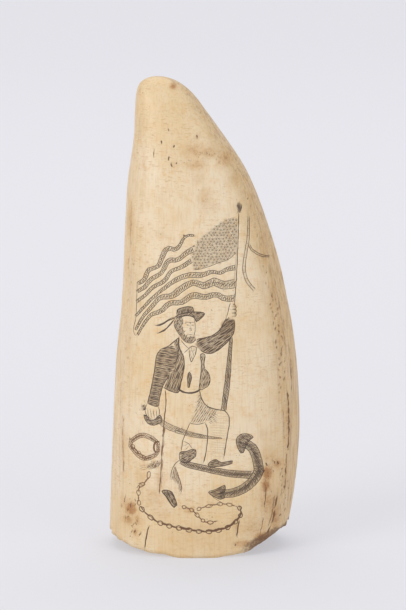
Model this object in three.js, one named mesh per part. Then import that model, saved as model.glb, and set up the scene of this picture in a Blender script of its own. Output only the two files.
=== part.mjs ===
// A scrimshaw sperm whale tooth that stands on the broken rim of its hollow root.
// Millimetres, +Z up. +X is the convex edge of the tooth, -Y the flattened face that is engraved.
// The tooth is one solid: a ring stack runs from the tip down the outside, under the rim of the
// root and up the pulp cavity to its end. The fine engraved lines are too shallow for this solid.
import * as THREE from 'three';

// ---- Driving dimensions ------------------------------------------------------------------
const HEIGHT = 160;              // standing rim to tip
const CAVITY_HEIGHT = 58;        // depth of the conical pulp cavity
const WALL = { side: 3.6, face: 5 };   // thickness of the root at its rim

// Outlines, as [depth below the tip, distance from the plumb line through the tip].
// They are read along the square root of the depth, which rounds the tip.
const HOLLOW_EDGE = [[0, 0], [2, 5.4], [5, 6.8], [12, 7.4], [21, 7.8], [34, 9.7], [48, 10.7], [76, 12.0],
  [95, 13.9], [120, 15.3], [HEIGHT, 16.7]];
const CONVEX_EDGE = [[0, 0], [2.4, 7.9], [7, 13.0], [12, 16.6], [21, 23.1], [32, 30.1], [48, 36.5], [68, 42.2],
  [93, 46.6], [119, 48.1], [140, 46.5], [HEIGHT, 43.2]];
const HALF_THICKNESS = [[0, 0], [2.4, 4.6], [12, 9.2], [32, 13.6], [63, 17.4], [93, 19.8], [124, 21.2], [HEIGHT, 21]];
const SQUARENESS = 2.3;          // exponent of the oval sections: 2 is an ellipse

// Height of the broken rim round the root, as [angle in degrees from +X towards +Y, height].
// It stands on a flat at the back (58 to 122) and one at the front (260 to 280).
const RIM = [[0, 7.8], [14, 7.0], [24, 5.0], [36, 3.4], [46, 1.1], [58, 0], [122, 0], [134, 0.9], [148, 1.6],
  [160, 3.6], [176, 5.0], [188, 5.0], [212, 3.8], [222, 2.8], [224, 2.4], [235, 2.0], [240, 1.3], [252, 1.0],
  [260, 0], [280, 0], [285, 0.5], [291, 0.8], [299, 1.4], [304, 2.3], [309, 3.3], [313, 4.3], [318, 5.2],
  [326, 6.7], [333, 7.6], [343, 7.4], [352, 8.6], [360, 7.8]];
const RIM_FADE = 26;             // height over which the rim's unevenness dies away

// Lengthwise ridges on the two narrow sides, where the root was not scraped flat.
const RIDGE = { count: 24, depth: 0.35, from: 0.8, fadeStart: 95, fadeEnd: 140 };

const COLUMNS = 96;
const OUTER_ROWS = 34;
const CAVITY_ROWS = 9;
const ROW_CROWDING = 1.5;        // above 1, rows crowd towards the tip
const CAVITY_TAPER = 0.7;        // exponent of the cavity's narrowing towards its end

// ---- Shape functions ---------------------------------------------------------------------
const smoothstep = THREE.MathUtils.smoothstep;

// A smooth function through [x, y] points: a cubic in each span, with the slopes of the neighbours' chords.
function smoothThrough(points) {
  const slope = points.map((_, i) => {
    const before = points[Math.max(i - 1, 0)];
    const after = points[Math.min(i + 1, points.length - 1)];
    return (after[1] - before[1]) / (after[0] - before[0]);
  });
  return (x) => {
    let i = 0;
    while (i < points.length - 2 && x > points[i + 1][0]) i += 1;
    const [[x0, y0], [x1, y1]] = [points[i], points[i + 1]];
    const span = x1 - x0;
    const t = THREE.MathUtils.clamp((x - x0) / span, 0, 1);
    const rise = (2 * t - 3) * t * t;
    return y0 * (1 + rise) - y1 * rise
      + span * t * (1 - t) * (slope[i] * (1 - t) - slope[i + 1] * t);
  };
}

const alongRoot = (points) => {
  const curve = smoothThrough(points.map(([depth, distance]) => [Math.sqrt(depth), distance]));
  return (z) => curve(Math.sqrt(Math.max(HEIGHT - z, 0)));
};

const hollowEdge = alongRoot(HOLLOW_EDGE);
const convexEdge = alongRoot(CONVEX_EDGE);
const halfThickness = alongRoot(HALF_THICKNESS);

const rimHeight = (angle) => {
  const degrees = THREE.MathUtils.radToDeg(angle);
  const i = RIM.findIndex(([to], k) => k > 0 && degrees <= to);
  const [[from, low], [to, high]] = [RIM[i - 1], RIM[i]];
  return THREE.MathUtils.mapLinear(degrees, from, to, low, high);
};

const powered = (value) => Math.sign(value) * Math.abs(value) ** (2 / SQUARENESS);

// A point of the oval section at height z, shrunk to a share of its size less a wall.
function sectionPoint(angle, z, share = 1, wall = { side: 0, face: 0 }, level = z) {
  const centre = (convexEdge(z) - hollowEdge(z)) / 2;
  const halfWidth = (convexEdge(z) + hollowEdge(z)) / 2 - wall.side;
  const halfDepth = halfThickness(z) - wall.face;
  return new THREE.Vector3(
    centre + halfWidth * share * powered(Math.cos(angle)),
    halfDepth * share * powered(Math.sin(angle)),
    level,
  );
}

function ridge(angle, z) {
  const onSide = smoothstep(Math.abs(Math.cos(angle)), RIDGE.from, 1);
  const alongTooth = 1 - smoothstep(z, RIDGE.fadeStart, RIDGE.fadeEnd);
  return RIDGE.depth * onSide * alongTooth * (Math.cos(RIDGE.count * angle) - 1);
}

// Height of a ring that would lie at `level` on an even root, at this angle of the uneven one.
const onBrokenRoot = (angle, level) => level + rimHeight(angle) * Math.max(0, 1 - level / RIM_FADE);

// ---- Rings -------------------------------------------------------------------------------
const angles = Array.from({ length: COLUMNS }, (_, i) => (i / COLUMNS) * 2 * Math.PI);

function outerRing(row) {
  const level = HEIGHT * (1 - (row / OUTER_ROWS) ** ROW_CROWDING);
  return angles.map((angle) => {
    const z = onBrokenRoot(angle, level);
    const point = sectionPoint(angle, z);
    const outward = new THREE.Vector3(Math.cos(angle), Math.sin(angle), 0);
    return point.addScaledVector(outward, ridge(angle, z));
  });
}

function cavityRing(row) {
  const climbed = row / CAVITY_ROWS;
  const level = CAVITY_HEIGHT * climbed;
  const share = (1 - climbed) ** CAVITY_TAPER;
  return angles.map((angle) => sectionPoint(angle, 0, share, WALL, onBrokenRoot(angle, level)));
}

// One closed skin over a stack of rings, each end drawn together in a point.
function skinOver(rings, start, end) {
  const points = [start, ...rings.flat(), end];
  const at = (ring, column) => 1 + ring * COLUMNS + (column % COLUMNS);
  const last = points.length - 1;
  const faces = [];
  for (let column = 0; column < COLUMNS; column += 1) {
    faces.push(0, at(0, column), at(0, column + 1));
    for (let ring = 0; ring < rings.length - 1; ring += 1) {
      const [a, b] = [at(ring, column), at(ring, column + 1)];
      const [c, d] = [at(ring + 1, column), at(ring + 1, column + 1)];
      faces.push(a, c, d, a, d, b);
    }
    faces.push(at(rings.length - 1, column + 1), at(rings.length - 1, column), last);
  }
  const geometry = new THREE.BufferGeometry().setFromPoints(points);
  geometry.setIndex(faces);
  geometry.computeVertexNormals();
  return geometry;
}

function makeTooth() {
  const outside = Array.from({ length: OUTER_ROWS }, (_, i) => outerRing(i + 1));
  const cavity = Array.from({ length: CAVITY_ROWS }, (_, i) => cavityRing(i));
  const tip = new THREE.Vector3(0, 0, HEIGHT);
  const cavityEnd = sectionPoint(0, 0, 0, WALL, CAVITY_HEIGHT);
  const geometry = skinOver([...outside, ...cavity], tip, cavityEnd);

  // The origin is under the middle of the tooth's width and thickness, on the standing rim.
  geometry.computeBoundingBox();
  const middle = geometry.boundingBox.getCenter(new THREE.Vector3());
  geometry.translate(-middle.x, -middle.y, 0);

  const ivory = new THREE.MeshStandardMaterial({ color: 0xe0cda8, roughness: 0.45, metalness: 0 });
  const tooth = new THREE.Mesh(geometry, ivory);
  tooth.name = 'whale_tooth';
  return tooth;
}

const scrimshaw = new THREE.Group();
scrimshaw.add(makeTooth());

export default scrimshaw;
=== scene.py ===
"""Looks of the scrimshaw whale tooth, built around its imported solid.

One mesh stands for the tooth. It follows the solid's form on a finer grid, and the front of that grid
is triangulated again around every engraved line, so that the lines are real cuts with ink in them.
Lengths are in millimetres until the mesh is made: x to the right and z up, seen from the front.
"""
import math
import random

import bpy
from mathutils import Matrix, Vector, kdtree, noise
from mathutils.geometry import delaunay_2d_cdt


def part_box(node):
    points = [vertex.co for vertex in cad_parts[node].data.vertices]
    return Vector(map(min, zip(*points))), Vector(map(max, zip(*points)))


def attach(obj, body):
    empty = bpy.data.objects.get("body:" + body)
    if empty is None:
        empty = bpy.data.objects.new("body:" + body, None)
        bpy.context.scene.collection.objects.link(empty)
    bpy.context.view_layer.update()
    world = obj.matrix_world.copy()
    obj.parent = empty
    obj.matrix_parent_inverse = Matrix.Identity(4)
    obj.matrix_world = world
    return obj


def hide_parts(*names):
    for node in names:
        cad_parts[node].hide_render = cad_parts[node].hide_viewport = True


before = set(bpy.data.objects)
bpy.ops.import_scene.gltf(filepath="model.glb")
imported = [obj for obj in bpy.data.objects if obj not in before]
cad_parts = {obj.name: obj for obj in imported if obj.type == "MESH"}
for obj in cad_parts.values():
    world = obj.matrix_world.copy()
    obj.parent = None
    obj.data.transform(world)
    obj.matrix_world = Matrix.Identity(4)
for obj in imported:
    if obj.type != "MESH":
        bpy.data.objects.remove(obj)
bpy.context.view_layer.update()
MM = 0.001


# ---- Form of the tooth: the solid's own outlines ------------------------------------------

HEIGHT = 160
CAVITY_HEIGHT = 58
WALL_SIDE = 3.6
WALL_FACE = 5

HOLLOW_EDGE = [(0, 0), (2, 5.4), (5, 6.8), (12, 7.4), (21, 7.8), (34, 9.7), (48, 10.7), (76, 12.0),
               (95, 13.9), (120, 15.3), (HEIGHT, 16.7)]
CONVEX_EDGE = [(0, 0), (2.4, 7.9), (7, 13.0), (12, 16.6), (21, 23.1), (32, 30.1), (48, 36.5),
               (68, 42.2), (93, 46.6), (119, 48.1), (140, 46.5), (HEIGHT, 43.2)]
HALF_THICKNESS = [(0, 0), (2.4, 4.6), (12, 9.2), (32, 13.6), (63, 17.4), (93, 19.8), (124, 21.2),
                  (HEIGHT, 21)]
SQUARENESS = 2.3

RIM = [(0, 7.8), (14, 7.0), (24, 5.0), (36, 3.4), (46, 1.1), (58, 0), (122, 0), (134, 0.9),
       (148, 1.6), (160, 3.6), (176, 5.0), (188, 5.0), (212, 3.8), (222, 2.8), (224, 2.4),
       (235, 2.0), (240, 1.3), (252, 1.0), (260, 0), (280, 0), (285, 0.5), (291, 0.8), (299, 1.4),
       (304, 2.3), (309, 3.3), (313, 4.3), (318, 5.2), (326, 6.7), (333, 7.6), (343, 7.4),
       (352, 8.6), (360, 7.8)]
RIM_FADE = 26

RIDGE_COUNT = 24
RIDGE_DEPTH = 0.35
RIDGE_FROM = 0.8
RIDGE_FADE = (95, 140)


def smoothstep(value, low, high):
    share = min(max((value - low) / (high - low), 0.0), 1.0)
    return share * share * (3 - 2 * share)


def smooth_through(points):
    """A smooth function through (x, y) points, with the slopes of the neighbours' chords."""
    last = len(points) - 1
    slopes = []
    for i in range(len(points)):
        before, after = points[max(i - 1, 0)], points[min(i + 1, last)]
        slopes.append((after[1] - before[1]) / (after[0] - before[0]))

    def value(x):
        i = 0
        while i < last - 1 and x > points[i + 1][0]:
            i += 1
        (x0, y0), (x1, y1) = points[i], points[i + 1]
        t = min(max((x - x0) / (x1 - x0), 0.0), 1.0)
        rise = (2 * t - 3) * t * t
        bend = slopes[i] * (1 - t) - slopes[i + 1] * t
        return y0 * (1 + rise) - y1 * rise + (x1 - x0) * t * (1 - t) * bend

    return value


def along_root(points):
    curve = smooth_through([(math.sqrt(depth), distance) for depth, distance in points])
    return lambda z: curve(math.sqrt(max(HEIGHT - z, 0)))


hollow_edge = along_root(HOLLOW_EDGE)
convex_edge = along_root(CONVEX_EDGE)
half_thickness = along_root(HALF_THICKNESS)

BOX_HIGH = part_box("whale_tooth")[1]
PLUMB_X = BOX_HIGH[0] / MM - max(convex_edge(z / 2) for z in range(0, 2 * HEIGHT))


def rim_height(angle):
    degrees = math.degrees(angle) % 360
    i = next(k for k in range(1, len(RIM)) if degrees <= RIM[k][0])
    (start, low), (end, high) = RIM[i - 1], RIM[i]
    return low + (high - low) * (degrees - start) / (end - start)


def on_broken_root(angle, level):
    return level + rim_height(angle) * max(0.0, 1 - level / RIM_FADE)


def powered(value):
    return math.copysign(abs(value) ** (2 / SQUARENESS), value)


def section(z):
    """Centre and half width, across the picture, of the oval section at height z."""
    left, right = hollow_edge(z), convex_edge(z)
    return PLUMB_X + (right - left) / 2, max((right + left) / 2, 0.001)


def ridge(angle, z):
    on_side = smoothstep(abs(math.cos(angle)), RIDGE_FROM, 1)
    along = 1 - smoothstep(z, *RIDGE_FADE)
    return RIDGE_DEPTH * on_side * along * (math.cos(RIDGE_COUNT * angle) - 1)


def section_point(angle, z, share=1.0, wall_side=0.0, wall_face=0.0, level=None):
    centre, half_width = section(z)
    x = centre + (half_width - wall_side) * share * powered(math.cos(angle))
    y = (half_thickness(z) - wall_face) * share * powered(math.sin(angle))
    return Vector((x, y, z if level is None else level))


def angle_at(x, z):
    """Angle round the tooth of the front point that is seen at (x, z)."""
    centre, half_width = section(z)
    share = min(max((x - centre) / half_width, -1.0), 1.0)
    return 2 * math.pi - math.acos(math.copysign(abs(share) ** (SQUARENESS / 2), share))


# ---- Engraving tools ----------------------------------------------------------------------

CURVE_STEP = 0.9      # spacing of the points along a smooth line
DASH_DEPTH = 0.08
PIT_DEPTH = 0.2


def smooth_path(points, step=CURVE_STEP, closed=False):
    """Points about `step` apart on the Catmull-Rom curve through the given points."""
    count = len(points)
    spans = count if closed else count - 1

    def at(i):
        return Vector(points[i % count]) if closed else Vector(points[min(max(i, 0), count - 1)])

    path = []
    for i in range(spans):
        before, start, end, after = at(i - 1), at(i), at(i + 1), at(i + 2)
        pieces = max(1, round((end - start).length / step))
        for k in range(pieces):
            t = k / pieces
            path.append(0.5 * (2 * start + (end - before) * t
                               + (2 * before - 5 * start + 4 * end - after) * t * t
                               + (3 * start - before - 3 * end + after) * t ** 3))
    path.append(at(spans))
    return path


def inside(point, outline):
    x, z = point
    result = False
    for i in range(len(outline)):
        (x0, z0), (x1, z1) = outline[i - 1], outline[i]
        if (z0 > z) != (z1 > z) and x < (x1 - x0) * (z - z0) / (z1 - z0) + x0:
            result = not result
    return result


class Graver:
    """Collects the cuts of the engraving: paths with a half width at each point."""

    def __init__(self, seed):
        self.cuts = []
        self.washes = []
        self.pick = random.Random(seed).uniform

    def cut(self, path, widths, ink, rust, depth):
        self.cuts.append({"path": path, "halves": [width / 2 for width in widths],
                          "ink": ink, "rust": rust, "depth": depth})

    def line(self, points, width=0.42, ink=0.95, rust=0.0, depth=0.1, closed=False, shake=0.05):
        """A drawn contour, a little uneven in width and with pointed ends."""
        path = [point + Vector((self.pick(-shake, shake), self.pick(-shake, shake)))
                for point in smooth_path(points, closed=closed)]
        widths = [width * self.pick(0.75, 1.15) for _ in path]
        if closed:
            path[-1] = path[0].copy()
            widths[-1] = widths[0]
        else:
            widths[0] = widths[-1] = 0.3 * width
        self.cut(path, widths, ink * self.pick(0.9, 1.0), rust, depth)

    def dash(self, start, end, width=0.34, ink=0.9, rust=0.0, bow=0.0):
        """One short stroke of the graver, pointed at both ends."""
        start, end = Vector(start), Vector(end)
        across = Vector((start.y - end.y, end.x - start.x)) * bow
        count = max(2, round((end - start).length / 1.2))
        path = []
        widths = []
        for k in range(count + 1):
            t = k / count
            path.append(start.lerp(end, t) + across * 4 * t * (1 - t))
            widths.append(width * min(1.0, 0.35 + 3 * t * (1 - t)))
        self.cut(path, widths, ink * self.pick(0.8, 1.0), rust, DASH_DEPTH)

    def wash(self, outline, strength):
        """The tone that worn-in ink leaves between close strokes."""
        self.washes.append(([Vector(corner) for corner in outline], strength))

    def dot(self, place, size, ink, rust):
        """A small round pit."""
        lean = Vector((self.pick(-0.15, 0.15), 0.2)) * size
        middle = Vector(place)
        widths = [0.8 * size, size, 0.7 * size]
        self.cut([middle - lean, middle, middle + lean], widths, ink, rust, PIT_DEPTH)

    def groove(self, points, width=0.5, ink=0.5, rust=1.0, depth=0.2, gap=0.8):
        """An old lengthwise groove: a line that comes and goes, with dirt of uneven strength in it."""
        path = smooth_path(points)
        k = 0
        while k < len(path) - 1:
            reach = k + max(2, round(self.pick(2, 7)))
            piece = [point + Vector((self.pick(-0.12, 0.12), 0)) for point in path[k:reach + 1]]
            widths = [width * self.pick(0.5, 1.2) for _ in piece]
            widths[0] = widths[-1] = 0.2 * width
            if len(piece) > 1:
                self.cut(piece, widths, ink * self.pick(0.5, 1.1), rust, depth)
            k = reach + (round(self.pick(0, 2)) if self.pick(0, 1) < gap else 0)

    def speckle(self, points, breadth, spacing, size, ink):
        """Small pits scattered along a path."""
        for place in smooth_path(points, spacing):
            spot = place + Vector((self.pick(-breadth, breadth) / 2, self.pick(-spacing, spacing) / 2))
            self.dot(spot, size * self.pick(0.6, 1.3), ink * self.pick(0.5, 1.2), 1.0)

    def hatch(self, outline, slope, spacing=0.5, length=2.6, width=0.38, ink=0.9, rust=0.0, gap=0.25,
              bow=0.03, wash=0.0):
        """Fills an outline with rows of short strokes that run at `slope` degrees."""
        if wash:
            self.wash(outline, wash)
        turn = math.radians(slope)
        along = Vector((math.cos(turn), math.sin(turn)))
        across = Vector((-along.y, along.x))
        corners = [Vector(corner) for corner in outline]
        rows = [corner.dot(across) for corner in corners]
        row = min(rows) + spacing / 2
        while row < max(rows):
            crossings = []
            for i in range(len(corners)):
                a, b = corners[i - 1], corners[i]
                row_a, row_b = a.dot(across), b.dot(across)
                if (row_a > row) != (row_b > row):
                    crossings.append(a.lerp(b, (row - row_a) / (row_b - row_a)).dot(along))
            crossings.sort()
            for begin, stop in zip(crossings[::2], crossings[1::2]):
                at = begin + self.pick(0, 0.2)
                while at < stop - 0.25:
                    reach = min(at + length * self.pick(0.6, 1.3), stop)
                    if stop - reach < 0.5:
                        reach = stop
                    lift = [self.pick(-0.12, 0.12) for _ in range(2)]
                    self.dash(along * at + across * (row + lift[0]),
                              along * reach + across * (row + lift[1]),
                              width * self.pick(0.8, 1.2), ink, rust, bow * self.pick(-1, 1))
                    at = reach + gap * self.pick(0.2, 1.4)
            row += spacing * self.pick(0.85, 1.15)

    def band(self, points, breadths, slant=90.0, spacing=0.55, width=0.34, ink=0.9, rust=0.0,
             outline=0.36, wash=0.0):
        """A ribbon along a path: two outlines, and strokes across it at `slant` degrees."""
        path = smooth_path(points)
        last = len(path) - 1
        sides = ([], [])
        for k, point in enumerate(path):
            tangent = (path[min(k + 1, last)] - path[max(k - 1, 0)]).normalized()
            normal = Vector((-tangent.y, tangent.x))
            half = sample(breadths, k / last) / 2
            sides[0].append(point + normal * half)
            sides[1].append(point - normal * half)
        if wash:
            self.wash(sides[0] + sides[1][::-1], wash)
        if outline:
            for side in sides:
                self.line(side[::2] + side[-1:], outline, ink, rust)
        self.rungs(path, breadths, slant, spacing, width, ink, rust)

    def rungs(self, path, breadths, slant, spacing, width, ink, rust):
        """Short strokes across a path, one after another."""
        lengths = [0.0]
        for a, b in zip(path, path[1:]):
            lengths.append(lengths[-1] + (b - a).length)
        at = spacing / 2
        k = 0
        while at < lengths[-1]:
            while lengths[k + 1] < at:
                k += 1
            share = (at - lengths[k]) / max(lengths[k + 1] - lengths[k], 1e-6)
            centre = path[k].lerp(path[k + 1], share)
            tangent = (path[k + 1] - path[k]).normalized()
            turn = math.radians(slant + self.pick(-8, 8))
            lean = Vector((tangent.x * math.cos(turn) - tangent.y * math.sin(turn),
                           tangent.x * math.sin(turn) + tangent.y * math.cos(turn)))
            half = sample(breadths, at / lengths[-1]) / 2 / max(abs(math.sin(turn)), 0.3)
            self.dash(centre - lean * half, centre + lean * half * self.pick(0.85, 1.05),
                      width * self.pick(0.8, 1.2), ink, rust)
            at += spacing * self.pick(0.8, 1.2)

    def chain(self, points, pitch=1.9, breadth=1.3, ink=0.7, rust=0.8):
        """Links seen in turn face on, as a ring, and edge on, as a short bar."""
        path = smooth_path(points, pitch)
        for k, (start, end) in enumerate(zip(path, path[1:])):
            along = (end - start) * 0.62
            middle = (start + end) / 2
            across = Vector((-along.y, along.x)).normalized() * breadth / 2
            if k % 2:
                self.dash(middle - along, middle + along, 0.7, ink, rust)
                continue
            ring = []
            for step in range(8):
                turn = math.radians(45 * step)
                ring.append(middle + along * math.cos(turn) + across * math.sin(turn))
            self.line(ring, 0.44, ink, rust, closed=True, shake=0.12)

    def stars(self, outline, spacing=1.12, size=0.52, ink=0.4):
        """Rows of small scratched stars that fill an outline."""
        low_x, high_x = min(p[0] for p in outline), max(p[0] for p in outline)
        low_z, high_z = min(p[1] for p in outline), max(p[1] for p in outline)
        row = 0
        z = low_z + spacing / 2
        while z < high_z:
            x = low_x + (row % 2) * spacing / 2
            while x < high_x:
                centre = Vector((x + self.pick(-0.2, 0.2), z + self.pick(-0.2, 0.2)))
                if inside(centre, outline):
                    start = self.pick(0, 180)
                    for arm in range(3):
                        turn = math.radians(start + 60 * arm)
                        direction = Vector((math.cos(turn), math.sin(turn)))
                        reach = direction * size * self.pick(0.8, 1.3)
                        self.dash(centre - reach, centre + reach, 0.26, ink)
                x += spacing
            z += spacing * 0.87
            row += 1


def sample(values, share):
    """Value at a share of the way along a short list."""
    place = share * (len(values) - 1)
    i = min(int(place), len(values) - 2)
    return values[i] + (values[i + 1] - values[i]) * (place - i)


# ---- The picture --------------------------------------------------------------------------

# Stripes of the flag, from the hoist to the fly: centre line, and breadths along it.
STRIPES = [
    ([(-3.2, 108.9), (-6.2, 108.7), (-9.2, 104.4), (-12.6, 104.3), (-15.4, 98.5), (-18.4, 97.1),
      (-20, 93.6), (-22.2, 92)], [0.5, 0.8, 1.2, 1.5, 1.1, 1.3, 0.9]),
    ([(-3.6, 104.5), (-6.2, 103), (-8.8, 100.9), (-12, 100.4), (-14.2, 96.4), (-17.8, 93.9),
      (-19.6, 91.4), (-22.3, 89.4)], [1.8, 1.2, 1.5, 1.1, 1.2, 0.9]),
    ([(-4.2, 100.8), (-7.6, 98.5), (-11, 97), (-13.2, 93.8), (-17, 91.4), (-19.6, 88.6),
      (-22.5, 86)], [1.4, 1, 1.2, 1, 0.8]),
    ([(10.4, 98.2), (7.6, 97.8), (5.2, 96.6), (2.4, 97), (-1, 95.9), (-5, 95.9), (-9.4, 94.2),
      (-13.4, 91.2), (-17.2, 87.8), (-20.2, 84.4), (-22.8, 81.2)], [1.6, 0.9, 1.7, 1.4, 0.9, 0.8, 0.6]),
    ([(10.2, 93), (6.4, 92.5), (3.2, 93.7), (0, 92.4), (-3.6, 93.4), (-7.2, 91.6), (-10.8, 88.9),
      (-14.6, 88.1), (-17.6, 84.7), (-20.6, 80.9), (-23, 76.4)], [2.7, 2.5, 1.7, 2, 1.3, 0.9, 0.6]),
    ([(10, 88.2), (7, 88), (3.8, 89.5), (0.2, 88.6), (-3.8, 89.2), (-7.4, 86.9), (-11.6, 86.3),
      (-14.4, 83.6), (-17.8, 82), (-20.4, 78.4), (-22.3, 74.9)], [2, 1.4, 1.9, 1.5, 1.4, 0.9, 0.6]),
]


def draw_flag(pen):
    canton = [(10.7, 114.5), (8, 114.3), (5.4, 112.9), (2.4, 110.9), (0.4, 109.4), (-1.8, 107.6),
              (-3.2, 105), (-4, 101.4), (-3.6, 97.6), (0, 98.2), (5, 100), (8, 101), (10.5, 103)]
    pen.stars(canton)
    pen.wash(canton, 0.22)
    pen.line(canton[8:], 0.26, 0.5)
    for path, breadths in STRIPES:
        pen.band(path, breadths, 84, 0.62, 0.3, 0.8, outline=0.28, wash=0.14)
        pen.band(path, [0.7 * breadth for breadth in breadths], 40, 1.1, 0.3, 0.7, outline=0)
    pen.line([(-22.4, 92.6), (-22.6, 86), (-22.9, 80.5), (-23.8, 75.8), (-22.6, 74.4)], 0.28, 0.5)


def draw_pole_and_cord(pen):
    pen.hatch([(10.7, 118.6), (11.4, 119.3), (12.4, 118.7), (12.4, 117.4), (11.9, 116),
               (11.2, 116), (10.9, 117.2)], 80, 0.3, ink=1, wash=0.6)
    pen.line([(11.4, 116), (11.2, 108), (10.8, 98), (10.3, 90), (10, 86.5)], 0.36, 0.8)
    pen.line([(10.8, 113.5), (10.7, 106), (10.3, 98), (9.9, 92)], 0.22, 0.3)
    pen.band([(8.9, 75.2), (8.5, 70), (8, 64), (7.4, 58), (6.7, 53), (6.4, 50.9)],
             [0.9, 1.2, 1.6, 1.7, 1.5], 35, 0.55, 0.3, 0.7, wash=0.4)
    cord = [(14.7, 114.5), (14.6, 108), (14, 104.3), (13.3, 100), (13.3, 96.5), (14.3, 93.4), (16.4, 90.7)]
    tail = [(14.9, 105.4), (15.6, 103.9), (17.4, 102.4), (19.6, 101.2), (21.9, 100.7)]
    for path, breadths in ((cord, [0.5, 0.85, 0.9, 0.85]), (tail, [0.55, 0.6, 0.5])):
        pen.band(path, breadths, 90, 2.4, 0.2, 0.55, 0.3, outline=0.32, wash=0.2)


def draw_head(pen):
    hair = [(-9.4, 81.8), (-7.3, 82.2), (-7, 80.6), (-7.3, 78.6), (-6.6, 76.4), (-5.6, 75.3),
            (-4.3, 75.2), (-3.3, 75.6), (-2.9, 74.6), (-3.7, 73.6), (-5.2, 73.3), (-6.7, 74),
            (-7.9, 75.6), (-8.9, 77), (-9.9, 78.6), (-10, 80.4)]
    pen.hatch(hair, 62, 0.4, 1.1, bow=0.18, wash=0.5)
    pen.line(hair[8:], 0.3, 0.8)
    crown = [(-9.1, 82.4), (-9, 84.2), (-7.4, 85), (-5.4, 85.4), (-3.9, 85.2), (-3.5, 83.5)]
    pen.hatch(crown, 75, 0.36, 2, ink=0.85, wash=0.5)
    pen.line(crown)
    brim = [(-9.5, 82), (-7.4, 83.1), (-4, 83.7), (-1.2, 83.6), (0.1, 83.1), (-1, 81.7),
            (-2.7, 80.5), (-3.3, 81.8), (-5.6, 82.5), (-8, 81.9)]
    pen.hatch(brim, 25, 0.34, 1.6, wash=0.55)
    pen.line(brim, closed=True)
    for ribbon in ([(-9.6, 81.6), (-12, 80.6), (-14, 79.2), (-16.2, 78.7)],
                   [(-10, 81), (-11.6, 79), (-13.4, 77.2), (-15.6, 76.1)]):
        pen.line(ribbon, 0.55)
        pen.line([(x + 0.3, z + 0.45) for x, z in ribbon[:-1]] + ribbon[-1:], 0.3, 0.8)

    # A plain face: eyes half way down the head, nose and mouth by thirds below them.
    eyes, nose, mouth, middle = 79.3, 77.3, 76.2, -4.7
    pen.line([(-3.4, 81.3), (-3.05, 79.6), (-3, 77.8), (-3.3, 76.2), (-3.6, 75.5)], 0.26, 0.9)
    for side in (-1, 1):
        x = middle + 0.85 * side
        pen.dash((x - 0.45, eyes + 0.85), (x + 0.45, eyes + 0.85), 0.22, 0.8, bow=0.12)
        pen.dash((x - 0.35, eyes), (x + 0.35, eyes), 0.34, 1)
    pen.line([(middle + 0.15, eyes - 0.2), (middle + 0.4, nose + 0.2), (middle - 0.1, nose)], 0.2, 0.7)
    pen.dash((middle - 0.6, mouth), (middle + 0.6, mouth), 0.26, 0.9, bow=-0.06)


def draw_jacket(pen):
    sleeve = [(-14.4, 71), (-15.9, 68.6), (-16.5, 64.5), (-17.2, 60.5), (-18, 56.5), (-19, 52.3),
              (-15.6, 51.6), (-14.9, 54.6), (-13.8, 58.6), (-11.5, 62.6), (-9.6, 65.5), (-8.6, 69.5),
              (-10.4, 72.4), (-12.4, 71.8)]
    pen.hatch(sleeve, -8, 0.38, 3, bow=0.06, wash=0.6)
    pen.line(sleeve[:6], 0.4)
    pen.line(sleeve[5:10], 0.36)
    front = [(-9.6, 65.3), (-11.5, 62.2), (-13.6, 58), (-11.5, 57.1), (-8.8, 56.6), (-8, 59),
             (-7.3, 62), (-6.7, 65.6), (-6.9, 68.6), (-8, 71), (-8.5, 73.2), (-8.3, 75.2),
             (-10.2, 73.6), (-9, 69.4)]
    pen.hatch(front, 68, 0.4, 3.2, bow=0.06, wash=0.6)
    pen.line(front[2:12], 0.42)
    pen.line([(-8.3, 75.2), (-10.4, 73.4), (-12.4, 71.8), (-14.4, 71)], 0.4)

    flap = [(-1.2, 69.6), (0.2, 69.4), (-0.1, 66.5), (0.2, 64.6), (1.2, 63.6), (1.9, 61.4), (1.6, 59.4),
            (0.2, 58.3), (-1.7, 57.7), (-1.3, 62), (-1, 66)]
    pen.hatch(flap, 74, 0.42, 2.2, ink=0.8, wash=0.4)
    pen.line(flap, 0.36, closed=True)

    raised = [(-2.5, 74.6), (0.4, 75.2), (2.8, 75.9), (4.9, 77.5), (6.3, 79.7), (7.3, 81.7), (9.9, 81),
              (10, 78), (9.2, 75.6), (7.2, 73.2), (4.6, 71), (2.2, 69.9), (0, 70.1),
              (-1.4, 71.2), (-2.6, 72.6)]
    pen.hatch(raised, 33, 0.38, 3, bow=0.06, wash=0.55)
    pen.wash([(4.6, 77), (6.6, 80.8), (9.9, 81), (10, 77.8), (7, 74.6)], 0.8)
    pen.line(raised[:6])
    pen.line(raised[6:14])


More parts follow.
